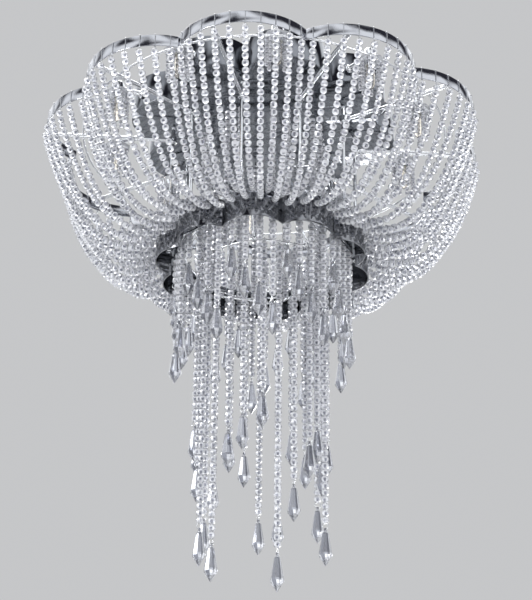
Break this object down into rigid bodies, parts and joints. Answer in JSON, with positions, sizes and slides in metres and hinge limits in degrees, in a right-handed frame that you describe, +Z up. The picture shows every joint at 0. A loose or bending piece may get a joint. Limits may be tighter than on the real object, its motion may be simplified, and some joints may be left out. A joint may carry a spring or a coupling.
{
  "type": "crystal ceiling light",
  "caption": "Round ceiling light with a scalloped polished band, a bowl of draped faceted crystal bead strands and hanging strands with icicle drops of mixed lengths.",
  "frame": {"origin": "centre of the ceiling plate, on the ceiling plane", "axes": "+Z up into the ceiling, the screw holes lie 90 mm apart along X and 50 mm along Y, and a lobe of the outer band points along -Y"},
  "size_m": [0.5906, 0.6096, 0.7499],
  "materials": {
    "plated_steel": "zinc plated",
    "polished_chrome": "polished",
    "dark_chrome": "polished",
    "terminal_plastic": "moulded",
    "earth_brass": "turned",
    "bulb_glass": "clear",
    "crystal": "cut and polished"
  },
  "bodies": {
    "frame": {"ceiling_plate": "plated_steel", "canopy_studs": "plated_steel", "canopy_nuts": "polished_chrome", "terminal_block": "terminal_plastic", "earth_terminal": "earth_brass", "canopy_wall": "dark_chrome", "canopy_floor": "dark_chrome", "support_rods": "polished_chrome", "rod_nuts": "polished_chrome", "frame_arms": "polished_chrome", "frame_ring": "polished_chrome", "outer_band": "polished_chrome", "outer_hooks": "polished_chrome", "inner_plate": "dark_chrome", "inner_band": "polished_chrome", "inner_hooks": "polished_chrome", "short_ring": "polished_chrome", "long_ring": "polished_chrome", "ring_struts": "polished_chrome", "upper_strings": "crystal", "lamp_arms": "polished_chrome", "lamp_sockets": "polished_chrome", "bulbs": "bulb_glass", "crystal_dishes": "crystal", "lamp_fringes": "crystal", "drape_1": "crystal", "drape_2": "crystal", "drape_3": "crystal", "drape_4": "crystal", "drape_5": "crystal", "drape_6": "crystal", "drape_7": "crystal", "drape_8": "crystal", "drape_9": "crystal", "drape_10": "crystal"},
    "short_strands_1": {"short_strands_1": "crystal"},
    "short_strands_2": {"short_strands_2": "crystal"},
    "short_strands_3": {"short_strands_3": "crystal"},
    "short_strands_4": {"short_strands_4": "crystal"},
    "short_strands_5": {"short_strands_5": "crystal"},
    "short_strands_6": {"short_strands_6": "crystal"},
    "short_strands_7": {"short_strands_7": "crystal"},
    "short_strands_8": {"short_strands_8": "crystal"},
    "short_strands_9": {"short_strands_9": "crystal"},
    "short_strands_10": {"short_strands_10": "crystal"},
    "long_strands_1": {"long_strands_1": "crystal"},
    "long_strands_2": {"long_strands_2": "crystal"},
    "long_strands_3": {"long_strands_3": "crystal"},
    "long_strands_4": {"long_strands_4": "crystal"},
    "long_strands_5": {"long_strands_5": "crystal"},
    "long_strands_6": {"long_strands_6": "crystal"},
    "long_strands_7": {"long_strands_7": "crystal"},
    "long_strands_8": {"long_strands_8": "crystal"}
  },
  "joints": [
    {"name": "short_swing_1", "type": "hinge", "parent": "frame", "child": "short_strands_1", "pos_m": [0, -0.113, -0.246], "axis": [-1, 0, 0], "range_deg": [-3, 20]},
    {"name": "short_swing_2", "type": "hinge", "parent": "frame", "child": "short_strands_2", "pos_m": [0.06642, -0.09142, -0.246], "axis": [-0.809, -0.5878, 0], "range_deg": [-3, 20]},
    {"name": "short_swing_3", "type": "hinge", "parent": "frame", "child": "short_strands_3", "pos_m": [0.10747, -0.03492, -0.246], "axis": [-0.309, -0.9511, 0], "range_deg": [-3, 20]},
    {"name": "short_swing_4", "type": "hinge", "parent": "frame", "child": "short_strands_4", "pos_m": [0.10747, 0.03492, -0.246], "axis": [0.309, -0.9511, 0], "range_deg": [-3, 20]},
    {"name": "short_swing_5", "type": "hinge", "parent": "frame", "child": "short_strands_5", "pos_m": [0.06642, 0.09142, -0.246], "axis": [0.809, -0.5878, 0], "range_deg": [-3, 20]},
    {"name": "short_swing_6", "type": "hinge", "parent": "frame", "child": "short_strands_6", "pos_m": [0, 0.113, -0.246], "axis": [1, 0, 0], "range_deg": [-3, 20]},
    {"name": "short_swing_7", "type": "hinge", "parent": "frame", "child": "short_strands_7", "pos_m": [-0.06642, 0.09142, -0.246], "axis": [0.809, 0.5878, 0], "range_deg": [-3, 20]},
    {"name": "short_swing_8", "type": "hinge", "parent": "frame", "child": "short_strands_8", "pos_m": [-0.10747, 0.03492, -0.246], "axis": [0.309, 0.9511, 0], "range_deg": [-3, 20]},
    {"name": "short_swing_9", "type": "hinge", "parent": "frame", "child": "short_strands_9", "pos_m": [-0.10747, -0.03492, -0.246], "axis": [-0.309, 0.9511, 0], "range_deg": [-3, 20]},
    {"name": "short_swing_10", "type": "hinge", "parent": "frame", "child": "short_strands_10", "pos_m": [-0.06642, -0.09142, -0.246], "axis": [-0.809, 0.5878, 0], "range_deg": [-3, 20]},
    {"name": "long_swing_1", "type": "hinge", "parent": "frame", "child": "long_strands_1", "pos_m": [0.03072, -0.07603, -0.268], "axis": [-0.9272, -0.3746, 0], "range_deg": [-1.7, 3]},
    {"name": "long_swing_2", "type": "hinge", "parent": "frame", "child": "long_strands_2", "pos_m": [0.07548, -0.03204, -0.268], "axis": [-0.3907, -0.9205, 0], "range_deg": [-1.7, 3]},
    {"name": "long_swing_3", "type": "hinge", "parent": "frame", "child": "long_strands_3", "pos_m": [0.07603, 0.03072, -0.268], "axis": [0.3746, -0.9272, 0], "range_deg": [-1.7, 3]},
    {"name": "long_swing_4", "type": "hinge", "parent": "frame", "child": "long_strands_4", "pos_m": [0.03204, 0.07548, -0.268], "axis": [0.9205, -0.3907, 0], "range_deg": [-1.7, 3]},
    {"name": "long_swing_5", "type": "hinge", "parent": "frame", "child": "long_strands_5", "pos_m": [-0.03072, 0.07603, -0.268], "axis": [0.9272, 0.3746, 0], "range_deg": [-1.7, 3]},
    {"name": "long_swing_6", "type": "hinge", "parent": "frame", "child": "long_strands_6", "pos_m": [-0.07548, 0.03204, -0.268], "axis": [0.3907, 0.9205, 0], "range_deg": [-1.7, 3]},
    {"name": "long_swing_7", "type": "hinge", "parent": "frame", "child": "long_strands_7", "pos_m": [-0.07603, -0.03072, -0.268], "axis": [-0.3746, 0.9272, 0], "range_deg": [-1.7, 3]},
    {"name": "long_swing_8", "type": "hinge", "parent": "frame", "child": "long_strands_8", "pos_m": [-0.03204, -0.07548, -0.268], "axis": [-0.9205, 0.3907, 0], "range_deg": [-1.7, 3]}
  ]
}
